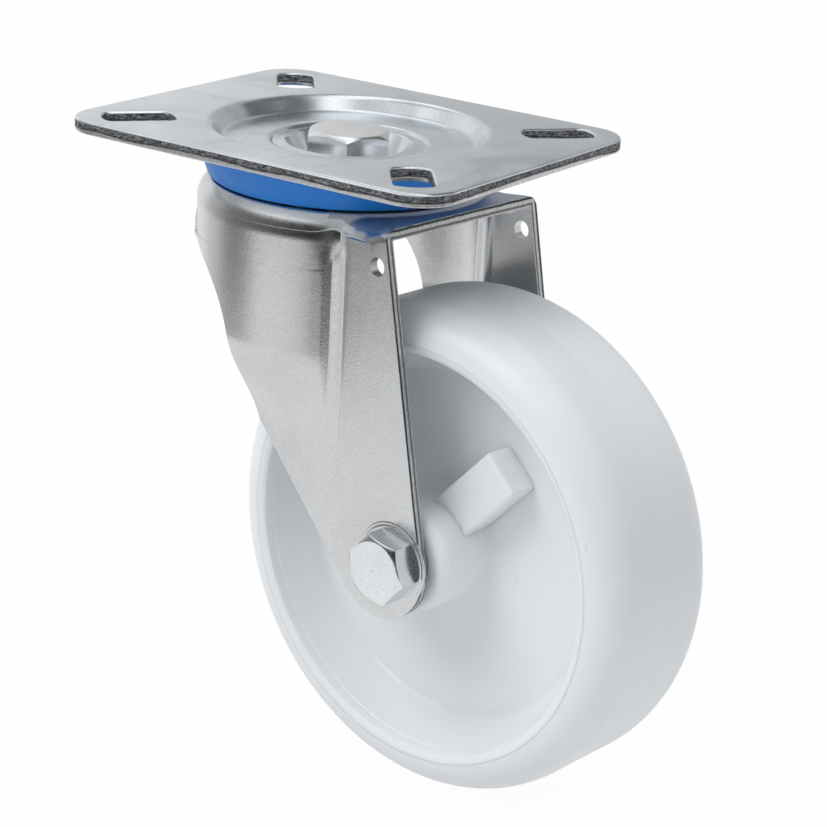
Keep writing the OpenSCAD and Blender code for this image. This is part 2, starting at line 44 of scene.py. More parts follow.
# Sizes in millimetres: plate, slots, crown, fork, axle and wheel as the solids have them
PLATE_L, PLATE_W, PLATE_T, PLATE_R = 135.0, 110.0, 4.0, 13.0
SLOT_X, SLOT_Y, SLOT_W, SLOT_L, SLOT_TURN = 50.0, 38.0, 11.5, 22.0, 51.0
CROWN_Z, TABLE_Z, FORK_T = 17.2, 16.0, 3.0
HALF_FORK, SHOULDER_R = 33.5, 45.0
TRAIL, AXLE_Z, WHEEL_R = 55.0, -115.5, 75.0
COIN_Y = HALF_FORK + 0.4
DISH_Z, STEP_Z, KING_BORE_R = -11.2, -4.6, 8.2
KING_D, KING_FLATS, KING_HEAD_H, KING_LENGTH = 16.0, 24.0, 10.0, 30.55
KING_NUT_Z, KING_NUT_H = -26.75, 13.0
AXLE_D, AXLE_FLATS, AXLE_HEAD_H, AXLE_NUT_H, AXLE_PAST = 12.0, 19.0, 7.5, 12.0, 14.0
# Where the fold between shoulder and leg stands, and how far its foot stands out
FOLD_X, FOOT_H = 28.3, 0.9
# The tread keeps just inside the solid wheel, whose circle is made of short straight steps
TREAD_R = WHEEL_R - 0.015


# Small helpers
def smooth(s):
    """An even step from 0 to 1."""
    s = np.clip(s, 0.0, 1.0)
    return s * s * (3 - 2 * s)


def mix(a, b, s):
    return a + (b - a) * s


def arc(c, r, a, b, n):
    """Points on the circle about c from angle a to b, in n steps."""
    t = np.radians(np.linspace(a, b, n + 1))
    return [(c[0] + r * math.cos(x), c[1] + r * math.sin(x)) for x in t]


def turned(v):
    """From the fork's own frame to the shared frame."""
    v = np.asarray(v, float)
    c, s = math.cos(TURN), math.sin(TURN)
    return np.stack([v[:, 0] * c - v[:, 1] * s, v[:, 0] * s + v[:, 1] * c, v[:, 2]], 1)


# Points closer together than this become one
WELD = 0.002 * MM


def add_mesh(name, verts, faces, material, sharp, slots=None):
    """A welded, smooth-shaded mesh from points in millimetres, with edges over the angle kept sharp."""
    me = bpy.data.meshes.new(name)
    me.from_pydata([tuple(p) for p in np.asarray(verts, float) * MM], [], [tuple(f) for f in faces])
    if slots:
        me.polygons.foreach_set("material_index", slots)
    bm = bmesh.new()
    bm.from_mesh(me)
    bmesh.ops.remove_doubles(bm, verts=bm.verts, dist=WELD)
    bmesh.ops.dissolve_degenerate(bm, edges=bm.edges, dist=WELD / 2)
    bmesh.ops.recalc_face_normals(bm, faces=bm.faces)
    limit = math.radians(sharp)
    for f in bm.faces:
        f.smooth = True
    for e in bm.edges:
        e.smooth = not (len(e.link_faces) == 2 and e.calc_face_angle(0) > limit)
    bm.to_mesh(me)
    bm.free()
    ob = bpy.data.objects.new(name, me)
    bpy.context.scene.collection.objects.link(ob)
    for m in material if isinstance(material, (list, tuple)) else [material]:
        me.materials.append(m)
    return ob


def apply_modifiers(ob):
    """Puts the mesh that the modifiers make in the place of the object's own."""
    bpy.context.view_layer.update()
    dg = bpy.context.evaluated_depsgraph_get()
    me = bpy.data.meshes.new_from_object(ob.evaluated_get(dg))
    ob.modifiers.clear()
    ob.data = me


def bevel(ob, width, segments, angle):
    m = ob.modifiers.new("bevel", "BEVEL")
    m.width = width * MM
    m.segments = segments
    m.limit_method = "ANGLE"
    m.angle_limit = math.radians(angle)
    m.harden_normals = True


def grid_faces(rows, cols, start=0, flip=False, closed=False):
    """Four-sided faces between the rows of a grid, whose last column joins the first when it is closed."""
    out = []
    last = cols if closed else cols - 1
    for r in range(rows - 1):
        for c in range(last):
            d = (c + 1) % cols
            here, below = start + r * cols, start + (r + 1) * cols
            q = [here + c, here + d, below + d, below + c]
            out.append(q[::-1] if flip else q)
    return out


class Shell:
    """Collects grids of points into one mesh."""

    def __init__(self):
        self.v, self.f, self.slots = [], [], []

    def grid(self, g, flip=False, closed=False, slot=0):
        g = np.asarray(g, float)
        start = len(self.v)
        self.v.extend(g.reshape(-1, 3).tolist())
        faces = grid_faces(g.shape[0], g.shape[1], start, flip, closed)
        self.f.extend(faces)
        self.slots.extend([slot] * len(faces))

    def tris(self, v, f):
        start = len(self.v)
        self.v.extend(np.asarray(v, float).tolist())
        self.f.extend([[start + i for i in t] for t in f])
        self.slots.extend([0] * len(f))


def revolved(profile, n=128, closed_profile=False):
    """Grid of a profile of (radius, height) points turned about Z."""
    p = list(profile) + ([profile[0]] if closed_profile else [])
    a = np.linspace(0, 2 * math.pi, n, endpoint=False)
    return np.array([[(r * math.cos(t), r * math.sin(t), h) for t in a] for r, h in p])


def to_axle(g, side=1):
    """Puts a shape made about Z at the axle, with its +Z towards side * -Y."""
    g = np.asarray(g, float)
    v = g.reshape(-1, 3)
    out = np.stack([v[:, 0] + TRAIL, -side * v[:, 2], side * v[:, 1] + AXLE_Z], 1)
    return turned(out).reshape(g.shape)


# Materials
def new_material(name, base, rough, metal=0.0):
    """A material with its node tree and its surface node."""
    m = bpy.data.materials.new(name)
    m.use_nodes = True
    nt = m.node_tree
    b = nt.nodes["Principled BSDF"]
    b.inputs["Base Color"].default_value = (*base, 1)
    b.inputs["Roughness"].default_value = rough
    b.inputs["Metallic"].default_value = metal
    return m, nt, b


class Nodes:
    """Short ways to add shader nodes to a tree."""

    def __init__(self, nt):
        self.nt = nt
        self.co = nt.nodes.new("ShaderNodeTexCoord").outputs["Object"]

    def new(self, kind, **values):
        n = self.nt.nodes.new(kind)
        for k, v in values.items():
            setattr(n, k, v)
        return n

    def link(self, a, b):
        self.nt.links.new(a, b)

    def mapped(self, scale, source=None, turn=(0, 0, 0)):
        n = self.new("ShaderNodeMapping")
        n.inputs["Scale"].default_value = scale
        n.inputs["Rotation"].default_value = turn
        self.link(source or self.co, n.inputs["Vector"])
        return n.outputs["Vector"]

    def noise(self, scale, detail=3.0, rough=0.5, source=None, distortion=0.0):
        n = self.new("ShaderNodeTexNoise")
        n.inputs["Scale"].default_value = scale
        n.inputs["Detail"].default_value = detail
        n.inputs["Roughness"].default_value = rough
        n.inputs["Distortion"].default_value = distortion
        self.link(source or self.co, n.inputs["Vector"])
        return n.outputs["Fac"]

    def cells(self, scale, source=None):
        """Distance to the nearest of points strewn at random."""
        n = self.new("ShaderNodeTexVoronoi", feature="F1")
        n.inputs["Scale"].default_value = scale
        self.link(source or self.co, n.inputs["Vector"])
        return n.outputs["Distance"]

    def span(self, value, lo, hi, to_lo, to_hi):
        """Maps lo..hi to to_lo..to_hi and holds the ends."""
        n = self.new("ShaderNodeMapRange")
        n.clamp = True
        for k, v in zip(("From Min", "From Max", "To Min", "To Max"), (lo, hi, to_lo, to_hi)):
            n.inputs[k].default_value = v
        self.link(value, n.inputs["Value"])
        return n.outputs["Result"]

    def math(self, op, a, b=None):
        n = self.new("ShaderNodeMath", operation=op)
        for i, x in enumerate((a, b)):
            if x is None:
                continue
            if isinstance(x, (int, float)):
                n.inputs[i].default_value = x
            else:
                self.link(x, n.inputs[i])
        return n.outputs["Value"]

    def ramp(self, value, stops):
        n = self.new("ShaderNodeValToRGB")
        el = n.color_ramp.elements
        while len(el) < len(stops):
            el.new(0.5)
        for e, (p, c) in zip(el, stops):
            e.position = p
            e.color = (*c, 1)
        self.link(value, n.inputs["Fac"])
        return n.outputs["Color"]

    def axis(self, name, source=None):
        n = self.new("ShaderNodeSeparateXYZ")
        self.link(source or self.co, n.inputs[0])
        return n.outputs[name]

    def blend(self, fac, a, b):
        """Mixes two colours, from a at 0 to b at 1."""
        n = self.new("ShaderNodeMix", data_type="RGBA", blend_type="MIX")
        for i, x in ((0, fac), (6, a), (7, b)):
            if isinstance(x, (int, float)):
                n.inputs[i].default_value = x
            elif isinstance(x, tuple):
                n.inputs[i].default_value = (*x, 1)
            else:
                self.link(x, n.inputs[i])
        return n.outputs[2]

    def bump(self, height, strength, distance, normal=None):
        n = self.new("ShaderNodeBump")
        n.inputs["Strength"].default_value = strength
        n.inputs["Distance"].default_value = distance
        self.link(height, n.inputs["Height"])
        if normal is not None:
            self.link(normal, n.inputs["Normal"])
        return n.outputs["Normal"]


# Colours of the nicks, of the dark grain and of the stains
NICK, GREY_GRAIN, STAIN = (0.10, 0.10, 0.105), (0.20, 0.20, 0.21), (0.36, 0.385, 0.40)


def zinc(name, base, rough, grain, smudge=0.06, stains=0.0, nicks=0.5):
    """Zinc plating: a satin metal with cloudy tone, fine grain, soft stains and small nicks."""
    m, nt, b = new_material(name, base, rough, 1.0)
    k = Nodes(nt)
    cloud = k.noise(38, 4, 0.6, distortion=0.6)
    fine = k.noise(900, 3, 0.6)
    dark = tuple(c * (1 - 2.2 * smudge) for c in base)
    light = tuple(min(1, c * (1 + smudge)) for c in base)
    tone = k.ramp(cloud, [(0.32, dark), (0.68, light)])
    tone = k.blend(k.span(k.noise(1700, 2, 0.7), 0.35, 0.65, 0.16, 0.0), tone, GREY_GRAIN)
    if stains:
        patch = k.span(k.noise(26, 3, 0.55, distortion=1.4), 0.50, 0.66, 0.0, stains)
        tone = k.blend(patch, tone, STAIN)
    speck = k.span(k.cells(300), 0.0, 0.10, 1.0, 0.0)
    rare = k.span(k.noise(110, 2), 0.60, 0.68, 0.0, 1.0)
    stretched = k.mapped((1, 1, 0.16), turn=(0.5, 0.3, 0.8))
    scratch = k.span(k.cells(120, stretched), 0.0, 0.025, 1.0, 0.0)
    leaning = k.mapped((1.3, 0.9, 1.1), turn=(0.2, 1.0, 0.4))
    some = k.span(k.noise(70, 2, source=leaning), 0.58, 0.63, 0.0, 1.0)
    marks = k.math("MAXIMUM", k.math("MULTIPLY", speck, rare), k.math("MULTIPLY", scratch, some))
    tone = k.blend(k.math("MULTIPLY", marks, nicks), tone, NICK)
    k.link(tone, b.inputs["Base Color"])
    wear = k.math("ADD", k.math("MULTIPLY", cloud, 0.6), k.math("MULTIPLY", fine, 0.4))
    k.link(k.span(wear, 0.3, 0.7, rough - 0.05, rough + 0.09), b.inputs["Roughness"])
    normal = k.bump(k.noise(2100, 3, 0.6), grain, 0.0001)
    normal = k.bump(k.noise(90, 2, 0.4), grain * 0.25, 0.0004, normal)
    normal = k.bump(marks, 0.5 * nicks, -0.0002, normal)
    k.link(normal, b.inputs["Normal"])
    return m


def torn_tone(k, stretch):
    """Streaks of torn metal and their colour, from nearly black to bright."""
    streaks = k.noise(1100, 5, 0.75, source=k.mapped(stretch), distortion=0.8)
    return streaks, k.ramp(streaks, [
        (0.38, (0.02, 0.02, 0.025)), (0.47, (0.16, 0.16, 0.17)),
        (0.56, (0.26, 0.27, 0.28)), (0.66, (0.62, 0.63, 0.64))])


def finish_edge(k, b, tone, streaks, torn):
    """Colour, roughness and relief of a cut edge, rougher where it is torn."""
    k.link(tone, b.inputs["Base Color"])
    k.link(k.span(torn, 0, 1, 0.33, 0.55), b.inputs["Roughness"])
    n = k.bump(k.math("MULTIPLY", streaks, torn), 0.8, 0.0006, k.bump(k.noise(900, 3), 0.3, 0.0002))
    k.link(n, b.inputs["Normal"])


def cut_edge(name):
    """The sheared edge of the plate: torn above, a dark step, burnished below."""
    m, nt, b = new_material(name, (0.55, 0.56, 0.58), 0.4, 1.0)
    k = Nodes(nt)
    wave = k.math("MULTIPLY", k.math("SUBTRACT", k.noise(34, 3), 0.5), 0.0030)
    z = k.math("ADD", k.axis("Z"), k.math("ADD", wave, k.math("MULTIPLY", k.noise(420, 3), 0.0004)))
    torn = k.span(z, -0.0028, -0.0022, 0.0, 1.0)
    streaks, rough_tone = torn_tone(k, (0.6, 0.6, 1.7))
    rubbed = k.span(k.noise(800, 3, 0.6), 0.35, 0.65, 0.0, 0.5)
    tone = k.blend(torn, k.blend(rubbed, (0.62, 0.63, 0.65), (0.34, 0.35, 0.36)), rough_tone)
    step_up, step_down = k.span(z, -0.0028, -0.0024, 0.0, 1.0), k.span(z, -0.0024, -0.0019, 1.0, 0.0)
    step = k.math("MULTIPLY", step_up, step_down)
    tone = k.blend(k.math("MULTIPLY", step, 0.85), tone, (0.02, 0.02, 0.022))
    finish_edge(k, b, tone, streaks, torn)
    return m


def sheet_edge(name):
    """The cut edge of the fork's sheet: a dark burr along both corners, streaked between them."""
    m, nt, b = new_material(name, (0.6, 0.61, 0.62), 0.36, 1.0)
    k = Nodes(nt)
    own = k.mapped((1, 1, 1), turn=(0, 0, -TURN))
    leg = k.math("SUBTRACT", HALF_FORK * MM, k.math("ABSOLUTE", k.axis("Y", own)))
    crown = k.math("SUBTRACT", -CROWN_Z * MM, k.axis("Z", own))
    wave = k.math("MULTIPLY", k.math("SUBTRACT", k.noise(260, 3), 0.5), 0.0004)
    depth = k.math("ADD", k.math("MINIMUM", leg, crown), wave)

    def line(rise, fall, level):
        """A dark line that comes and goes between two pairs of depths."""
        return k.math("MULTIPLY", k.span(depth, *rise, 0.0, level), k.span(depth, *fall, 1.0, 0.0))

    outer = line((0.0001, 0.0003), (0.0007, 0.0010), 1.0)
    inner = line((0.0018, 0.0021), (0.0025, 0.0027), 0.7)
    burr = k.math("MAXIMUM", outer, inner)
    streaks, _ = torn_tone(k, (1.5, 1.5, 0.7))
    low = k.blend(k.span(streaks, 0.40, 0.55, 0.55, 0.0), (0.64, 0.65, 0.66), (0.24, 0.245, 0.25))
    tone = k.blend(k.math("MULTIPLY", burr, 0.9), low, (0.025, 0.025, 0.028))
    finish_edge(k, b, tone, streaks, burr)
    return m


def plastic(name, base, rough, mottle):
    """Smooth moulded plastic with a slightly cloudy tone."""
    m, nt, b = new_material(name, base, rough)
    k = Nodes(nt)
    dark = tuple(c * (1 - mottle) for c in base)
    light = tuple(min(1, c * (1 + mottle * 0.5)) for c in base)
    k.link(k.ramp(k.noise(30, 3, 0.5), [(0.3, dark), (0.7, light)]), b.inputs["Base Color"])
    k.link(k.span(k.noise(220, 3), 0.3, 0.7, rough - 0.04, rough + 0.06), b.inputs["Roughness"])
    k.link(k.bump(k.noise(700, 3), 0.05, 0.0001), b.inputs["Normal"])
    return m


def wheel_nylon(name, base, rough):
    """Cast nylon: cool white, a little cloudy, with faint scuffs in patches."""
    m, nt, b = new_material(name, base, rough)
    k = Nodes(nt)
    cloud = k.noise(16, 3, 0.5)
    tone = k.ramp(cloud, [(0.3, tuple(c * 0.975 for c in base)), (0.7, base)])
    patch = k.span(k.noise(24, 2), 0.60, 0.68, 0.0, 1.0)
    stretched = k.mapped((1, 1, 0.5), turn=(0.3, 0.5, 0.2))
    nicks = k.span(k.noise(420, 2, 0.5, source=stretched), 0.66, 0.74, 0.0, 1.0)
    scuffs = k.math("MULTIPLY", k.math("MULTIPLY", patch, nicks), 0.16)
    tone = k.blend(scuffs, tone, (0.42, 0.44, 0.46))
    k.link(tone, b.inputs["Base Color"])
    k.link(k.span(k.noise(90, 4), 0.3, 0.7, rough - 0.05, rough + 0.07), b.inputs["Roughness"])
    k.link(k.bump(k.noise(420, 3), 0.05, 0.0001, k.bump(k.noise(60, 2), 0.03, 0.0006)), b.inputs["Normal"])
    b.inputs["Subsurface Weight"].default_value = 0.55
    b.inputs["Subsurface Radius"].default_value = (1.0, 1.0, 1.0)
    b.inputs["Subsurface Scale"].default_value = 0.006
    return m


MAT_PLATE = zinc("plate_zinc", (0.69, 0.735, 0.77), rough=0.17, grain=0.08, smudge=0.04,
                 stains=0.40, nicks=0.35)
MAT_EDGE = cut_edge("plate_cut_edge")
MAT_FORK = zinc("fork_zinc", (0.67, 0.685, 0.695), rough=0.22, grain=0.36, smudge=0.04, nicks=0.6)
MAT_FORK_EDGE = sheet_edge("fork_cut_edge")
# The crown's zinc: duller, with more grain, stains and nicks, and a darker colour that is painted shade
# under the plate
MAT_CROWN_WORN_AND_SHADED = zinc("crown_zinc_worn_and_shaded", (0.60, 0.615, 0.625), rough=0.46, grain=0.6, stains=0.3, nicks=0.8)
MAT_BOLT = zinc("bolt_zinc", (0.80, 0.82, 0.84), rough=0.18, grain=0.22, smudge=0.05, stains=0.2, nicks=0.3)
MAT_DARK = zinc("inner_steel", (0.52, 0.53, 0.55), rough=0.38, grain=0.15)
MAT_BALL = zinc("ball_steel", (0.60, 0.62, 0.64), rough=0.14, grain=0.02, smudge=0.02, nicks=0.0)
MAT_SEAL = plastic("seal_plastic", (0.004, 0.20, 0.68), rough=0.5, mottle=0.06)
MAT_RING = plastic("locking_nylon", (0.55, 0.62, 0.74), rough=0.4, mottle=0.05)
MAT_WHEEL = wheel_nylon("wheel_nylon", (0.86, 0.875, 0.885), rough=0.38)


# Mounting plate
STRAIGHT_STEP = 6


def rounded_outline(inset, n=14):
    """The plate's outline, drawn in by the inset, with its straight sides cut into short steps."""
    l, w, r = PLATE_L / 2 - inset, PLATE_W / 2 - inset, PLATE_R - inset
    pts = []
    for cx, cy, a in ((l - r, w - r, 0), (-l + r, w - r, 90), (-l + r, -w + r, 180), (l - r, -w + r, 270)):
        pts += arc((cx, cy), r, a, a + 90, n)
    dense = []
    for i, p in enumerate(pts):
        q = pts[(i + 1) % len(pts)]
        d = math.dist(p, q)
        k = max(1, int(d / STRAIGHT_STEP))
        dense += [(mix(p[0], q[0], j / k), mix(p[1], q[1], j / k)) for j in range(k)]
    return np.array(dense)


def slot_outline(grow, x, y, n=72):
    """The outline of the slot at x, y, widened by grow, with straight sides and bowed ends."""
    a = np.linspace(0, 2 * math.pi, n, endpoint=False) + 0.013
    half, reach, p = SLOT_W / 2 + grow, SLOT_L / 2 + grow, 16
    r = (np.full(n, reach) ** -p + (half / np.maximum(np.abs(np.sin(a)), 1e-6)) ** -p) ** (-1 / p)
    t = math.radians(SLOT_TURN) * (1 if x * y > 0 else -1)
    px, py = r * np.cos(a), r * np.sin(a)
    return np.stack([x + px * math.cos(t) - py * math.sin(t), y + px * math.sin(t) + py * math.cos(t)], 1)


def inside(poly, p):
    """Whether the point lies inside the outline."""
    x, y = p
    c = False
    j = len(poly) - 1
    for i in range(len(poly)):
        if (poly[i][1] > y) != (poly[j][1] > y):
            if x < (poly[j][0] - poly[i][0]) * (y - poly[i][1]) / (poly[j][1] - poly[i][1]) + poly[i][0]:
                c = not c
        j = i
    return c


def flat_region(outer, holes, z):
    """Triangles of a flat face with holes, through the outlines' own points."""
    loops = [outer] + holes
    pts, edges = [], []
    for lp in loops:
        s = len(pts)
        pts += [Vector((float(p[0]), float(p[1]))) for p in lp]
        edges += [(s + i, s + (i + 1) % len(lp)) for i in range(len(lp))]
    v, _, f, _, _, _ = delaunay_2d_cdt(pts, edges, [], 0, 1e-5)
    keep = []
    for t in f:
        c = (sum(v[i][0] for i in t) / 3, sum(v[i][1] for i in t) / 3)
        if inside(outer, c) and not any(inside(h, c) for h in holes):
            keep.append(t)
    return [(p[0], p[1], z) for p in v], keep


def circle(r, n):
    """Points on a circle about the swivel axis."""
    a = np.linspace(0, 2 * math.pi, n, endpoint=False)
    return np.stack([r * np.cos(a), r * np.sin(a)], 1)


def lift(pts, z):
    """Puts flat points at a height."""
    return np.column_stack([pts, np.full(len(pts), z)])


DISH_N = 160
BRIM_R, BRIM_UNDER_R = 43.4, 44.4
# Pairs of inset and height down the rolled rim and the cut side of the plate, and down a slot
PLATE_RIM = [(1.3, 0), (0.85, -0.05), (0.45, -0.2), (0.16, -0.45), (0.03, -0.75)]
PLATE_WALL = [(0.03, -0.75), (0.0, -1.1), (0.0, -1.9), (0.02, -2.7), (0.0, -3.5), (0.1, -3.85), (0.4, -4.0)]
SLOT_RIM = [(0.9, 0), (0.55, -0.05), (0.25, -0.2), (0.06, -0.5)]
SLOT_WALL = [(0.06, -0.5), (0.0, -0.9), (0.0, -2.2), (0.0, -3.9), (0.1, -4.0)]
corners = [(SLOT_X, SLOT_Y), (-SLOT_X, SLOT_Y), (-SLOT_X, -SLOT_Y), (SLOT_X, -SLOT_Y)]


def build_plate():
    """The pressed plate and, as a piece of its own, its cut sides."""
    top, side = Shell(), Shell()
    for inset, grow, brim, z in ((PLATE_RIM[0][0], SLOT_RIM[0][0], BRIM_R, 0.0),
                                 (PLATE_WALL[-1][0], SLOT_WALL[-1][0], BRIM_UNDER_R, -PLATE_T)):
        holes = [slot_outline(grow, *c) for c in corners] + [circle(brim, DISH_N)]
        top.tris(*flat_region(rounded_outline(inset), holes, z))
    top.grid([lift(rounded_outline(i), z) for i, z in PLATE_RIM], closed=True)
    side.grid([lift(rounded_outline(i), z) for i, z in PLATE_WALL], closed=True)
    for c in corners:
        top.grid([lift(slot_outline(g, *c), z) for g, z in SLOT_RIM], closed=True)
        side.grid([lift(slot_outline(g, *c), z) for g, z in SLOT_WALL], closed=True)
    dish = (
        [(KING_BORE_R, DISH_Z), (15.4, DISH_Z)]
        + arc((15.6, -10.2), 1.0, -85, -38, 5)
        + arc((20.6, -7.0), 2.4, 140, 122, 3)
        + arc((24.8, -7.1), 2.5, 138, 90, 8)
        + [(27.0, STEP_Z), (33.0, STEP_Z - 0.02), (36.4, STEP_Z)]
        + arc((37.0, -2.2), 2.4, -90, -45, 8)
        + arc((BRIM_R, -3.9), 3.9, 136, 90, 10)
    )
    under = (
        [(KING_BORE_R, DISH_Z - PLATE_T), (18.4, DISH_Z - PLATE_T)]
        + arc((18.6, -14.2), 1.0, -80, -36, 4)
        + [(26.0, -9.2), (27.4, -8.62), (37.6, STEP_Z - PLATE_T)]
        + arc((38.0, -4.6), 4.0, -88, -46, 6)
        + [(BRIM_R, -4.5), (BRIM_UNDER_R, -PLATE_T)]
    )
    top.grid(revolved(dish, DISH_N), closed=True)
    top.grid(revolved(under, DISH_N), closed=True)
    top.grid(revolved([(KING_BORE_R, DISH_Z), (KING_BORE_R, DISH_Z - PLATE_T)], DISH_N), closed=True)
    ob = add_mesh("plate_pressed", top.v, top.f, MAT_PLATE, 40)
    edge = add_mesh("plate_cut_sides", side.v, side.f, MAT_EDGE, 40)
    return ob, edge


# Fork sheet: the round lower end of the legs, the top of their front edge and the knee of the rear cut line
END_C = (TRAIL - 5.0, AXLE_Z - 1.5)
END_R = 17.0
FRONT_TOP = (46.5, -CROWN_Z)
KNEE = (0.0, -86.4)
# The wall behind the bends runs closed round the back from its top to its low edge
WALL_TOP, WALL_LOW = -CROWN_Z - 7.7, -33.0
# How far the rear cut line keeps its direction where it leaves the wall and where it meets the leg
CURVE_START, CURVE_END = 8.0, 8.0
LEG_END_DEG = -91.5
# Bend radii at the crown's front corner and behind it, and the bend's size over the round shoulder
BEND_FRONT, BEND_BACK, ROUND_LESS, ROUND_H = 3.6, 7.4, 2.4, 6.8
# Where the bend leaves the front corner, where the round shoulder starts, and the length of both changes
CORNER_X, ROUND_X, SHIFT = 46.0, 34.0, 9.0
# The table's radius, how deep its side would fall, the width of that side, and the rounding at its foot
TABLE_R, TABLE_FALL, TABLE_SLOPE, BLEND = 41.2, 6.0, 4.6, 0.9


def touch(p, c, r, side):
    """Where the line from p touches the circle about c."""
    d = (p[0] - c[0], p[1] - c[1])
    a = math.atan2(d[1], d[0]) + side * math.acos(r / math.hypot(*d))
    return (c[0] + r * math.cos(a), c[1] + r * math.sin(a))


FRONT_TOUCH = touch(FRONT_TOP, END_C, END_R, -1)
KNEE_TOUCH = touch(KNEE, END_C, END_R, 1)


def front_x(z):
    """The leg's front edge, set back a little on its way up from the rounded end."""
    if z < FRONT_TOUCH[1]:
        x = END_C[0] + math.sqrt(max(0.0, END_R ** 2 - (z - END_C[1]) ** 2))
    else:
        x = mix(FRONT_TOP[0], FRONT_TOUCH[0], (z - FRONT_TOP[1]) / (FRONT_TOUCH[1] - FRONT_TOP[1]))
    return x - 0.9 * min(1.0, max(0.0, (x - END_C[0] + 10.0) / 22.0)) if z > END_C[1] else x


def smax(a, b, k):
    """The larger of two values, rounded over the width k where they meet."""
    h = np.clip(0.5 + 0.5 * (a - b) / k, 0, 1)
    return mix(b, a, h) + k * h * (1 - h)


def fold_fade(z):
    """1 where the shoulder is fully round, down to 0 where the sheet is flat."""
    return 1 - smooth((-z - 58.0) / 30.0)


def side_y(x, z):
    """How far the sheet's outer face lies from the middle plane: round shoulder, riser, foot and dip."""
    x = np.asarray(x, float)
    w = fold_fade(z)
    circ = np.sqrt(np.maximum(0.0, SHOULDER_R ** 2 - x * x))
    start = smooth((-z - 22.6) / 8.0)
    soft = 1 - start
    rise = smooth((FOLD_X + 6.0 * soft - x) / (2.2 + 9.0 * soft))
    bulge = w * rise * np.maximum(0.0, circ - HALF_FORK)
    foot_fade = 1 - smooth((-z - 62.0) / 40.0)
    foot = FOOT_H * start * foot_fade * np.clip((FOLD_X + 3.0 - x) / 3.4, 0, 1)
    level = (0.03 + 0.075 * start) * (1 - smooth((FOLD_X - 3 - x) / 2))
    out = HALF_FORK + smax(bulge, foot, 0.12 + 0.3 * start) - level
    dip_fade = 1 - smooth((-z - 70.0) / 35.0)
    dip = 0.34 * start * dip_fade * np.exp(-((x - FOLD_X - 3.2) / 1.15) ** 2)
    return np.where((circ < HALF_FORK) & (x < 0) & (w > 0.999), circ, out - dip)


# Columns of a row: the flat leg, the wide ones among them, and the shoulder
FLAT_N, COARSE_N, SHOULDER_N = 52, 12, 44
COLS = FLAT_N + SHOULDER_N + 1
# Rows of the bend, those of them that take the dull crown zinc with its painted shade, and rows of the wall,
# the curve, the leg and its end
BEND_N, BEND_DULL_SHADED = 19, 9
WALL_N, CURVE_N, LEG_N, END_N = 13, 60, 36, 40


def row_plan(z, x_back):
    """One row of the outer face seen from above, from the front edge over the fold to x_back."""
    xf = front_x(z)
    fold = max(FOLD_X - 2.0, mix(x_back, xf, 0.3))
    near = min(fold + 8.0, mix(fold, xf, 0.6))
    coarse = mix(xf, near, np.linspace(0, 1, COARSE_N + 1)[:-1])
    flat = np.concatenate([coarse, mix(near, fold, np.linspace(0, 1, FLAT_N - COARSE_N + 1))])
    s = np.linspace(0, 1, SHOULDER_N + 1)[1:]
    if fold < SHOULDER_R - 1 and x_back < FOLD_X - 2.0:
        a0, a1 = math.acos(fold / SHOULDER_R), math.acos(max(-1.0, x_back / SHOULDER_R))
        back = SHOULDER_R * np.cos(mix(a0, a1, s))
    else:
        back = mix(fold, x_back, s)
    x = np.concatenate([flat, back])
    return np.stack([x, -side_y(x, z)], 1)


def plan_normals(p, closes):
    """Outward directions along a row, square to the middle plane where the row closes at the back."""
    d = np.zeros_like(p)
    d[1:-1] = p[2:] - p[:-2]
    d[0], d[-1] = p[1] - p[0], p[-1] - p[-2]
    n = np.stack([-d[:, 1], d[:, 0]], 1)
    n /= np.linalg.norm(n, axis=1)[:, None]
    n[0] = (0, -1)
    if closes:
        n[-1] = (-1, 0)
    return n


def table_top(r):
    """Height of the raised table under the seal, which falls away outside it."""
    return -TABLE_Z - TABLE_FALL * smooth((r - TABLE_R) / TABLE_SLOPE)


def soft_normals(p, n, width=3.0):
    """The plan's normals averaged along the outline, mirrored at the back, so that the bends stay smooth."""
    gap = np.linalg.norm(np.diff(p, axis=0), axis=1)
    way = np.concatenate([[0], np.cumsum(gap)])
    share = np.gradient(way)
    way2 = np.concatenate([way, 2 * way[-1] - way[::-1]])
    n2 = np.vstack([n, n[::-1] * np.array([1, -1])])
    share2 = np.concatenate([share, share[::-1]])
    near = np.exp(-((way[:, None] - way2[None, :]) / width) ** 2 / 2) * share2
    soft = near @ n2
    return soft / np.linalg.norm(soft, axis=1)[:, None]


def fork_rows():
    """Height and rearmost x of every row below the bend, and the last row that closes at the back."""
    rows = [(z, -SHOULDER_R) for z in np.linspace(WALL_TOP, WALL_LOW, WALL_N)]
    closed = len(rows) - 1
    c = np.subtract(KNEE_TOUCH, KNEE)
    c = c / np.linalg.norm(c)
    b = [np.array(p) for p in ((-SHOULDER_R, WALL_LOW), (CURVE_START, WALL_LOW), KNEE - CURVE_END * c, KNEE)]
    for s in np.arange(1, CURVE_N + 1) / CURVE_N:
        p = b[0] * (1 - s) ** 3 + 3 * b[1] * s * (1 - s) ** 2 + 3 * b[2] * s * s * (1 - s) + b[3] * s ** 3
        rows.append((p[1], p[0]))
    for s in np.arange(1, LEG_N + 1) / LEG_N:
        rows.append((mix(KNEE[1], KNEE_TOUCH[1], s), mix(KNEE[0], KNEE_TOUCH[0], s)))
    a0 = math.degrees(math.atan2(KNEE_TOUCH[1] - END_C[1], KNEE_TOUCH[0] - END_C[0]))
    a0 = a0 if a0 < 0 else a0 - 360
    for s in np.arange(1, END_N + 1) / END_N:
        a = math.radians(mix(a0, LEG_END_DEG, s))
        rows.append((END_C[1] + END_R * math.sin(a), END_C[0] + END_R * math.cos(a)))
    return rows, closed


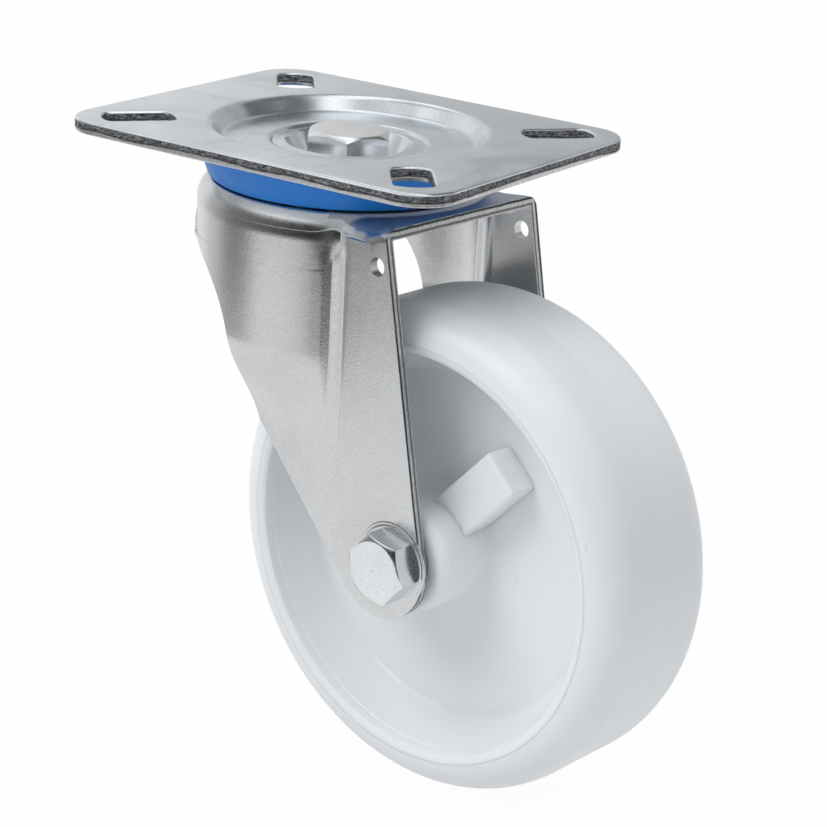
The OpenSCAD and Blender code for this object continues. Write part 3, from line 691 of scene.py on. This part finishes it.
def half_grid(rows, closed, inset):
    """The near half of the sheet's outer face, or its inner face with the sheet's thickness as inset."""
    top = row_plan(WALL_TOP + 0.5, -SHOULDER_R)
    tn = soft_normals(top, plan_normals(top, True))
    tn[0], tn[-1] = (0, -1), (-1, 0)
    round_part = smooth((ROUND_X - top[:, 0]) / SHIFT)
    behind = smooth((CORNER_X - top[:, 0]) / SHIFT)
    bend_r = mix(BEND_FRONT, BEND_BACK, behind) - ROUND_LESS * round_part - inset
    bend_h = mix(bend_r, ROUND_H - inset, round_part)
    top_z = -mix(CROWN_Z, TABLE_Z + 0.1, round_part)
    grid = []
    for step in range(BEND_N):
        a = math.radians(90 * (1 - step / (BEND_N - 1)))
        off = inset + bend_r * (1 - math.cos(a))
        p = top - tn * off[:, None]
        z = top_z - inset - bend_h * (1 - math.sin(a))
        if inset == 0:
            z = smax(z, table_top(np.hypot(p[:, 0], p[:, 1])), BLEND)
        p[0, 0] = front_x(z[0])
        grid.append(np.column_stack([p, z]))
    for k, (z, xb) in enumerate(rows):
        p = row_plan(z, xb)
        n = plan_normals(p, k <= closed)
        q = p - inset * n
        if k <= closed:
            q[-1, 1] = 0.0
        grid.append(np.column_stack([q, np.full(COLS, z)]))
    return np.array(grid)


def mirror(g):
    """The same on the far side of the middle plane."""
    return np.asarray(g) * np.array([1, -1, 1])


# Points along the crown's front edge, and the radii of its rings, close together at the table's side
FRONT_N = 28
CROWN_RADII = [52, 48, 45.5, 44.4, 43.9, 43.6, 43.3, 43.0, 42.7, 42.4, 42.1, 41.8, 41.5, 41,
               38, 30, 20, 12.5]


def crown_loop(g):
    """The inner edge of the bends as one closed loop, with the front edge filled in."""
    near = g[0]
    far = mirror(near)[::-1]
    x, y, z = near[0]
    ys = np.linspace(far[-1][1], y, FRONT_N + 2)[1:-1]
    front = np.column_stack([np.full(FRONT_N, x), ys, np.full(FRONT_N, z)])
    return np.vstack([near, far[1:], front]), front


def crown(loop, top):
    """Rings from the loop inwards: the crown's upper face with its table, or its lower face."""
    r = np.hypot(loop[:, 0], loop[:, 1])
    rings = [loop]
    for k in CROWN_RADII:
        s = np.minimum(1.0, k / r)
        p = loop[:, :2] * s[:, None]
        rr = np.hypot(p[:, 0], p[:, 1])
        if top:
            z = smax(np.full(len(r), -CROWN_Z), table_top(rr), BLEND)
        else:
            z = -CROWN_Z - FORK_T + (CROWN_Z - TABLE_Z) * (1 - smooth((rr - 37.0) / 1.6))
        z = np.where(s >= 1.0, loop[:, 2], z)
        rings.append(np.column_stack([p, z]))
    return np.array(rings)


# The small hole through both legs near their top
EAR_R, EAR_X, EAR_Z, CUTTER_HALF, CUTTER_N = 2.75, 44.0, -28.0, 40, 40


def build_fork():
    """The pressed fork with its crown: slot 0 is the sheet, 1 its cut edge and 2 the dull crown, whose
    darker colour is painted shade.
    """
    rows, closed = fork_rows()
    out, inn = half_grid(rows, closed, 0.0), half_grid(rows, closed, FORK_T)
    cut = BEND_N + closed
    sh = Shell()
    for g, h, flip in ((out, inn, False), (mirror(out), mirror(inn), True)):
        # The upper bend rows at the front take the crown zinc, whose darker colour is painted shade
        sh.grid(g[:BEND_DULL_SHADED + 1, :FLAT_N + 1], flip, slot=2)
        sh.grid(g[:BEND_DULL_SHADED + 1, FLAT_N:], flip)
        sh.grid(g[BEND_DULL_SHADED:], flip)
        sh.grid(h, not flip)
        sh.grid(np.stack([g[:, 0], h[:, 0]]), flip, slot=1)
        sh.grid(np.stack([g[cut:, -1], h[cut:, -1]]), not flip, slot=1)
        sh.grid(np.stack([g[-1], h[-1]]), flip, slot=1)
    loop_o, front_o = crown_loop(out)
    loop_i, front_i = crown_loop(inn)
    co, ci = crown(loop_o, True), crown(loop_i, False)
    # The crown's upper face takes the crown zinc, whose darker colour is painted shade under the plate
    sh.grid(co, closed=True, slot=2)
    sh.grid(ci, True, closed=True)
    sh.grid(np.stack([co[-1], ci[-1]]), closed=True)
    near_o, near_i, far_o, far_i = out[0][:1], inn[0][:1], mirror(out[0][:1]), mirror(inn[0][:1])
    edge_o = np.vstack([far_o, front_o, near_o])
    edge_i = np.vstack([far_i, front_i, near_i])
    sh.grid(np.stack([edge_o, edge_i]), slot=1)
    ob = add_mesh("fork_sheet", turned(sh.v), sh.f, [MAT_FORK, MAT_FORK_EDGE, MAT_CROWN_WORN_AND_SHADED], 42, slots=sh.slots)
    ends = [(0, -CUTTER_HALF), (EAR_R, -CUTTER_HALF), (EAR_R, CUTTER_HALF), (0, CUTTER_HALF)]
    v = revolved(ends, CUTTER_N).reshape(-1, 3)
    v = np.stack([v[:, 0] + EAR_X, v[:, 2], v[:, 1] + EAR_Z], 1)
    cutter = add_mesh("ear_cutter", turned(v), grid_faces(4, CUTTER_N, closed=True), MAT_FORK, 40)
    m = ob.modifiers.new("holes", "BOOLEAN")
    m.operation, m.solver, m.object = "DIFFERENCE", "EXACT", cutter
    bevel(ob, 0.4, 2, 48)
    apply_modifiers(ob)
    bpy.data.objects.remove(cutter)
    return ob


def build_seat(side):
    """The coined seat round the axle hole on one leg."""
    seat = [(0, 0.38), (11.2, 0.38), (11.6, 0.34), (11.9, 0.2)]
    ridge = [(12.1, 0.14), (12.35, 0.24), (12.6, 0.2), (12.9, 0.0), (12.9, -0.5)]
    g = revolved(seat + ridge, 96) + np.array([0, 0, HALF_FORK])
    sh = Shell()
    sh.grid(to_axle(g, side), closed=True)
    return add_mesh("axle_seat_near" if side > 0 else "axle_seat_far", sh.v, sh.f, MAT_FORK, 50)


# Hexagon heads, nuts and bolts, made about Z with the seat at z = 0 and the head above
FACE_SHARE, CHAMFER_DEG = 0.95, 30


def hex_shell(flats, height, low_chamfer, turn, n=20):
    """Rings of a hexagon with a turned chamfer on top, and on the bottom for a nut."""
    a = np.radians(np.linspace(0, 360, 6 * n, endpoint=False) + turn)
    local = np.mod(np.linspace(0, 360, 6 * n, endpoint=False), 60) - 30
    side = flats / 2 / np.cos(np.radians(local))
    face = flats / 2 * FACE_SHARE
    drop = np.maximum(0.0, (side - face)) * math.tan(math.radians(CHAMFER_DEG))

    def ring(r, z):
        return np.column_stack([r * np.cos(a), r * np.sin(a), z])

    one = np.ones(6 * n)
    rim = [(face * 0.02, 0), (face * 0.8, 0), (face - 0.35, 0), (face - 0.1, 0.03), (face + 0.1, 0.12)]
    rings = [ring(r * one, (height - low) * one) for r, low in rim]
    rings += [ring(side - 0.12, height - drop - 0.02), ring(side, height - drop - 0.16)]
    for t in (0.75, 0.5, 0.25):
        rings.append(ring(side, mix(0, height - drop, t)))
    if low_chamfer:
        rings += [ring(side, drop + 0.1), ring(face * one, 0 * one), ring(face * 0.5 * one, 0 * one)]
    else:
        rings += [ring(side, 0.02 * one), ring(side - 0.05, 0 * one), ring(face * 0.5 * one, 0 * one)]
    return np.array(rings)


def bolt_shell(sh, place, flats, head_h, d, length, turn):
    """A bolt whose head stands on the seat and whose plain shank goes down from it."""
    sh.grid(place(hex_shell(flats, head_h, False, turn)), closed=True)
    r, end = d / 2, -length
    shank = [(r, 0.2), (r, end + 1.2), (r - 0.5, end + 0.4), (r - 1.0, end), (0.05, end)]
    sh.grid(place(revolved(shank, 48)), closed=True)


def nut_shell(sh, ring_sh, place, flats, height, d):
    """A locking nut with its round collar, and the ring of nylon held in it."""
    hex_h = height * 0.78
    sh.grid(place(hex_shell(flats, hex_h, True, 0)), closed=True)
    cr, r = flats / 2 * 0.9, d / 2
    wall = [(cr, hex_h - 0.4), (cr - 0.05, height - 2.2)]
    lip = [(r + 1.8, height), (r + 1.5, height - 0.15), (r + 1.4, height - 1.0)]
    collar = wall + arc((cr - 1.6, height - 1.6), 1.5, 0, 80, 6) + lip
    sh.grid(place(revolved(collar, 72)), closed=True)
    nylon = [(r + 1.45, 0.7), (r + 0.3, 0.75), (r + 0.06, 1.2), (r + 0.06, 2.4)]
    ring_sh.grid(place(revolved([(at, height - low) for at, low in nylon], 72)), closed=True)


# Wheel
# Half the thickness of the web and of the hub, and the radius of the tread's shoulders
WEB_H, HUB_H, TREAD_BEND = 8.0, 28.75, 12.0
# The block beside the hub: its reach from the axle, its width, its thickness and shift, and its bearing
BLOCK_FROM, BLOCK_TO, BLOCK_W, BLOCK_H, BLOCK_SHIFT, BLOCK_DEG = 12.5, 41.0, 36.0, 14.5, 3.0, -46.5


def wheel_profile():
    """Half of the wheel's section as pairs of radius and distance from its middle, from bore to tread."""
    half = [(10.15, HUB_H), (12.4, HUB_H)]
    half += arc((13.0, 25.25), 3.5, 90, 0, 12)
    half += [(16.55, 18.0)]
    half += arc((19.7, 11.1), 3.1, 180, 270, 10)
    half += [(24.0, WEB_H), (32.0, WEB_H), (44.0, WEB_H)]
    half += arc((52.2, 11.2), 3.2, -90, -28, 10)
    half += arc((61.9, 20.3), 0.9, 180, 122, 6)
    half += arc((64.6, 20.4), 4.6, 128, 92, 8)
    half += arc((TREAD_R - TREAD_BEND, 13.0), TREAD_BEND, 84, 0, 28)
    half += [(TREAD_R, 8.0), (TREAD_R, 0.35), (TREAD_R - 0.055, 0.0)]
    return half


def build_wheel():
    """The turned wheel and the radial block beside its hub."""
    half = wheel_profile()
    full = half + [(r, -h) for r, h in half[::-1][1:]]
    sh = Shell()
    sh.grid(to_axle(revolved(full, 256, closed_profile=True)), closed=True)
    ob = add_mesh("wheel_nylon", sh.v, sh.f, MAT_WHEEL, 40)
    bm = bmesh.new()
    bmesh.ops.create_cube(bm, size=1.0)
    for v in bm.verts:
        x = mix(BLOCK_FROM, BLOCK_TO, v.co.x + 0.5)
        v.co = Vector((x, v.co.y * BLOCK_W, BLOCK_SHIFT + v.co.z * BLOCK_H))
    bmesh.ops.subdivide_edges(bm, edges=bm.edges, cuts=3, use_grid_fill=True)
    bearing = Matrix.Rotation(math.radians(BLOCK_DEG), 3, "Y")
    bmesh.ops.rotate(bm, verts=bm.verts, cent=(0, 0, 0), matrix=bearing)
    verts = np.array([v.co[:] for v in bm.verts]) + np.array([TRAIL, 0, AXLE_Z])
    faces = [[v.index for v in f.verts] for f in bm.faces]
    bm.free()
    block = add_mesh("wheel_block", turned(verts), faces, MAT_WHEEL, 40)
    bevel(block, 1.1, 4, 40)
    apply_modifiers(block)
    return ob, block


# The pieces: which body each rides on, what it replaces and its material
plate, plate_sides = build_plate()
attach(plate, "castor_plate")
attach(plate_sides, "castor_plate")
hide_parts("top_plate")

seal_profile = (
    [(45.9, -4.0), (44.7, -4.0), (42.1, -7.5), (40.9, -15.1)]
    + arc((41.4, -15.0), 0.45, 200, 340, 6)
    + [(42.25, -14.6), (43.4, -11.3), (44.6, -7.7), (45.6, -4.8)]
)
sh = Shell()
sh.grid(revolved(seal_profile, 160, closed_profile=True), closed=True)
seal = add_mesh("dust_seal_ring", sh.v, sh.f, MAT_SEAL, 40)
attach(seal, "castor_plate")
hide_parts("dust_seal")


def king_place(g):
    """Up from the dish's floor."""
    return np.asarray(g) + np.array([0, 0, DISH_Z])


def king_nut_place(g):
    """Down from under the crown."""
    return np.asarray(g) * np.array([1, -1, -1]) + np.array([0, 0, KING_NUT_Z])


sh = Shell()
bolt_shell(sh, king_place, KING_FLATS, KING_HEAD_H, KING_D, KING_LENGTH, turn=4.0)
king = add_mesh("king_bolt_head", sh.v, sh.f, MAT_BOLT, 24)
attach(king, "castor_plate")
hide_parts("king_bolt")

sh, rg = Shell(), Shell()
nut_shell(sh, rg, king_nut_place, KING_FLATS, KING_NUT_H, KING_D)
king_nut = add_mesh("king_lock_nut", sh.v, sh.f, MAT_BOLT, 24)
king_ring = add_mesh("king_lock_ring", rg.v, rg.f, MAT_RING, 40)
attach(king_nut, "castor_plate")
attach(king_ring, "castor_plate")
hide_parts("king_nut")
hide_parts("king_nut_ring")

fork = build_fork()
seats = [build_seat(1), build_seat(-1)]
for ob in [fork] + seats:
    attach(ob, "swivel_fork")
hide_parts("fork")


def head_place(g):
    """Out from the near leg along the axle."""
    return to_axle(np.asarray(g) + np.array([0, 0, COIN_Y]), 1)


def nut_place(g):
    """Out from the far leg along the axle."""
    return to_axle(np.asarray(g) + np.array([0, 0, COIN_Y]), -1)


sh = Shell()
bolt_shell(sh, head_place, AXLE_FLATS, AXLE_HEAD_H, AXLE_D, 2 * COIN_Y + AXLE_PAST, turn=-11.0)
axle = add_mesh("axle_bolt_head", sh.v, sh.f, MAT_BOLT, 24)
sh, rg = Shell(), Shell()
nut_shell(sh, rg, nut_place, AXLE_FLATS, AXLE_NUT_H, AXLE_D)
axle_nut = add_mesh("axle_lock_nut", sh.v, sh.f, MAT_BOLT, 24)
axle_ring = add_mesh("axle_lock_ring", rg.v, rg.f, MAT_RING, 40)
sh = Shell()
tube_profile = [(6.2, -30.5), (9.6, -30.5), (10.0, -30.2), (10.0, 30.2), (9.6, 30.5), (6.2, 30.5)]
sh.grid(to_axle(revolved(tube_profile, 72, True)), closed=True)
tube = add_mesh("axle_tube_turned", sh.v, sh.f, MAT_DARK, 40)
for ob, node, slot in ((axle, "axle_bolt", "bright_zinc"), (axle_nut, "axle_nut", "bright_zinc"),
                       (axle_ring, "axle_nut_ring", "locking_nylon"), (tube, "axle_tube", "zinc_sheet")):
    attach(ob, "swivel_fork")
    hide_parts(node)

wheel, block = build_wheel()
for ob in (wheel, block):
    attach(ob, "road_wheel")
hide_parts("wheel")

# The solids' own pieces that stay inside the bearing
for node, material in (("distance_bush", MAT_DARK), ("lower_race", MAT_DARK),
                       ("upper_balls", MAT_BALL), ("lower_balls", MAT_BALL)):
    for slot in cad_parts[node].material_slots:
        slot.material = material


# Floor, world, lamps and screens, in metres
def tree_node(nt, kind, links=(), **values):
    """A shader node with sockets set to values or linked to other sockets, given in order."""
    n = nt.nodes.new(kind)
    for k, v in values.items():
        setattr(n, k, v)
    for i, x in enumerate(links):
        if isinstance(x, (int, float, tuple)):
            n.inputs[i].default_value = x
        else:
            nt.links.new(x, n.inputs[i])
    return n


def shown_or_lighting(nt, output, shown, lighting, share=None):
    """One shader for camera, glossy and transmission rays, the other for the rays that only bring light."""
    path = tree_node(nt, "ShaderNodeLightPath").outputs
    fac = path["Is Camera Ray"]
    for ray in ("Is Glossy Ray", "Is Transmission Ray"):
        fac = tree_node(nt, "ShaderNodeMath", (fac, path[ray]), operation="MAXIMUM").outputs[0]
    if share is not None:
        fac = tree_node(nt, "ShaderNodeMath", (fac, share), operation="MULTIPLY").outputs[0]
    mixed = tree_node(nt, "ShaderNodeMixShader", (fac, lighting.outputs[0], shown.outputs[0]))
    tree_node(nt, output, (mixed.outputs[0],))


FLOOR_Z, FLOOR_HALF = (AXLE_Z - WHEEL_R) * MM, 6
FLOOR_GREY, FLOOR_GLOW_SHARE = (0.86, 0.86, 0.86, 1), 0.965
SKY, SKY_LEVEL, WHITE = (0.93, 0.96, 1.0, 1), 0.55, (1, 1, 1, 1)

floor_me = bpy.data.meshes.new("floor")
floor_corners = [(x * FLOOR_HALF, y * FLOOR_HALF, FLOOR_Z) for x, y in ((-1, -1), (1, -1), (1, 1), (-1, 1))]
floor_me.from_pydata(floor_corners, [], [(0, 1, 2, 3)])
floor = bpy.data.objects.new("floor", floor_me)
bpy.context.scene.collection.objects.link(floor)
fm = bpy.data.materials.new("floor_pale")
fm.use_nodes = True
nt = fm.node_tree
nt.nodes.clear()
shown_or_lighting(nt, "ShaderNodeOutputMaterial", tree_node(nt, "ShaderNodeEmission", (WHITE, 1.0)),
                  tree_node(nt, "ShaderNodeBsdfDiffuse", (FLOOR_GREY,)), FLOOR_GLOW_SHARE)
floor_me.materials.append(fm)

world = bpy.data.worlds.new("studio")
bpy.context.scene.world = world
world.use_nodes = True
nt = world.node_tree
nt.nodes.clear()
shown_or_lighting(nt, "ShaderNodeOutputWorld", tree_node(nt, "ShaderNodeBackground", (WHITE, 1.0)),
                  tree_node(nt, "ShaderNodeBackground", (SKY, SKY_LEVEL)))


CASTOR_MIDDLE = (0.02, 0, -0.09)


def lamp(name, where, size, power):
    """A rectangular lamp that points at the castor's middle."""
    data = bpy.data.lights.new(name, "AREA")
    data.shape = "RECTANGLE"
    data.size, data.size_y = size
    data.energy = power
    ob = bpy.data.objects.new(name, data)
    bpy.context.scene.collection.objects.link(ob)
    ob.location = where
    way = Vector(CASTOR_MIDDLE) - Vector(where)
    ob.rotation_euler = way.to_track_quat("-Z", "Y").to_euler()


lamp("key", where=(-0.5, -0.9, 1.1), size=(0.9, 0.9), power=11.0)
lamp("side", where=(1.3, -0.3, 0.5), size=(0.7, 1.0), power=0.4)
lamp("rear", where=(-0.2, 0.7, 1.3), size=(1.2, 0.6), power=6.0)


def glow_material(name, level, strength=1.0):
    """A plain glow for the screens that the metal mirrors, with its level from a function of nodes."""
    m = bpy.data.materials.new(name)
    m.use_nodes = True
    nt = m.node_tree
    nt.nodes.clear()
    k = Nodes(nt)
    out = k.new("ShaderNodeOutputMaterial")
    em = k.new("ShaderNodeEmission")
    em.inputs["Strength"].default_value = strength
    k.link(level(k), em.inputs["Color"])
    k.link(em.outputs[0], out.inputs["Surface"])
    return m


def greys(k, value, stops):
    """Grey levels at places along the value."""
    return k.ramp(value, [(p, (v, v, v)) for p, v in stops])


def screen(name, verts, faces, material):
    """A screen of the studio that shows only in reflections."""
    me = bpy.data.meshes.new(name)
    me.from_pydata(verts, [], faces)
    me.materials.append(material)
    ob = bpy.data.objects.new(name, me)
    bpy.context.scene.collection.objects.link(ob)
    ob.visible_camera = ob.visible_diffuse = ob.visible_shadow = ob.visible_transmission = False


def bearing_greys(k, bearing, levels):
    """Grey levels at bearings in degrees, from -180 to 180."""
    return greys(k, bearing, [((deg + 180) / 360, v) for deg, v in levels])


def front_level(k):
    """Soft boxes and gaps by bearing near the floor, a dark gap at the camera's height and a bright top."""
    a = k.math("ARCTAN2", k.axis("Y"), k.axis("X"))
    bearing = k.math("ADD", k.math("DIVIDE", a, 2 * math.pi), 0.5)
    low = bearing_greys(k, bearing, [
        (-180, 0.80), (-163, 0.72), (-150, 0.30), (-133, 0.26), (-120, 0.95), (-106, 1.0),
        (-88, 0.92), (-76, 0.50), (-62, 0.28), (-52, 0.03), (10, 0.04), (40, 0.55)])
    gap = bearing_greys(k, bearing, [
        (-180, 0.62), (-165, 0.58), (-150, 0.26), (-130, 0.16), (-108, 0.08), (-94, 0.03),
        (-65, 0.03), (-30, 0.35), (40, 0.6)])
    high = bearing_greys(k, bearing, [(-180, 0.8), (-150, 1.0), (-120, 1.0), (-60, 0.9), (40, 0.6)])
    z = k.axis("Z")
    level = k.blend(k.span(z, -0.125, -0.035, 0.0, 1.0), low, gap)
    return k.blend(k.span(z, 0.16, 0.26, 0.0, 1.0), level, high)


def back_level(k):
    """A grey sweep behind the plate, darker to the right."""
    way = k.span(k.axis("X"), -0.5, -0.2, 0.0, 1.0)
    return greys(k, way, [(0.0, 0.84), (0.35, 0.76), (0.65, 0.60), (1.0, 0.55)])


def top_level(k):
    """The ceiling: a soft box above the swivel axis, dark behind it and to its right."""
    way = k.math("ADD", k.math("MULTIPLY", k.axis("X"), 0.6), k.math("MULTIPLY", k.axis("Y"), 0.8))
    return greys(k, k.span(way, -0.4, 0.6, 0.0, 1.0), [
        (0.0, 0.55), (0.30, 0.45), (0.40, 1.0), (0.50, 1.0), (0.58, 0.12), (1.0, 0.10)])


# The front screen is part of a drum, the back screen stands behind the plate, the top screen is a ceiling
DRUM_R, DRUM_LOW, DRUM_TOP = 0.40, -0.185, 0.55
DRUM_FROM, DRUM_TO, DRUM_N = -180, 40, 89
BACK_LEFT, BACK_RIGHT, BACK_LOW, BACK_TOP = (-0.75, 0.35), (0.45, 0.75), -0.06, 0.5
CEILING_Z, CEILING_GLOW = 0.56, 1.5
ONE_FACE = [(0, 1, 2, 3)]

bearings = np.radians(np.linspace(DRUM_FROM, DRUM_TO, DRUM_N))
drum = [(DRUM_R * math.cos(t), DRUM_R * math.sin(t), z) for z in (DRUM_LOW, DRUM_TOP) for t in bearings]
screen("front_screen", drum, grid_faces(2, DRUM_N), glow_material("front_glow", front_level))
back_corners = [(*BACK_LEFT, BACK_LOW), (*BACK_RIGHT, BACK_LOW),
                (*BACK_RIGHT, BACK_TOP), (*BACK_LEFT, BACK_TOP)]
screen("back_screen", back_corners, ONE_FACE, glow_material("back_glow", back_level))
ceiling = [(x, y, CEILING_Z) for x, y in ((-0.6, -0.5), (0.8, -0.5), (0.8, 0.8), (-0.6, 0.8))]
screen("top_screen", ceiling, ONE_FACE, glow_material("top_glow", top_level, CEILING_GLOW))

# The camera as fitted to the photo: its bearing, its height angle, its roll, its place and its focal length
AZ, EL, ROLL = math.radians(34.16), math.radians(19.76), math.radians(3.07)
CAMERA_AT = (0.41240, -0.56546, 0.16059)
FOCAL_PIXELS, PHOTO_PIXELS, SENSOR_W = 2379.0, 827.0, 36.0

back = Vector((math.sin(AZ) * math.cos(EL), -math.cos(AZ) * math.cos(EL), math.sin(EL)))
level_right = Vector((math.cos(AZ), math.sin(AZ), 0))
level_up = back.cross(level_right)
right = math.cos(ROLL) * level_right + math.sin(ROLL) * level_up
up = -math.sin(ROLL) * level_right + math.cos(ROLL) * level_up

cam_data = bpy.data.cameras.new("camera")
cam_data.sensor_width = SENSOR_W
cam_data.lens = FOCAL_PIXELS / PHOTO_PIXELS * SENSOR_W
cam_data.clip_start = 0.05
cam_data.clip_end = 50
cam = bpy.data.objects.new("camera", cam_data)
bpy.context.scene.collection.objects.link(cam)
cam.matrix_world = Matrix.Translation(CAMERA_AT) @ Matrix((right, up, back)).transposed().to_4x4()
bpy.context.scene.camera = cam
bpy.context.scene.view_settings.view_transform = "Standard"
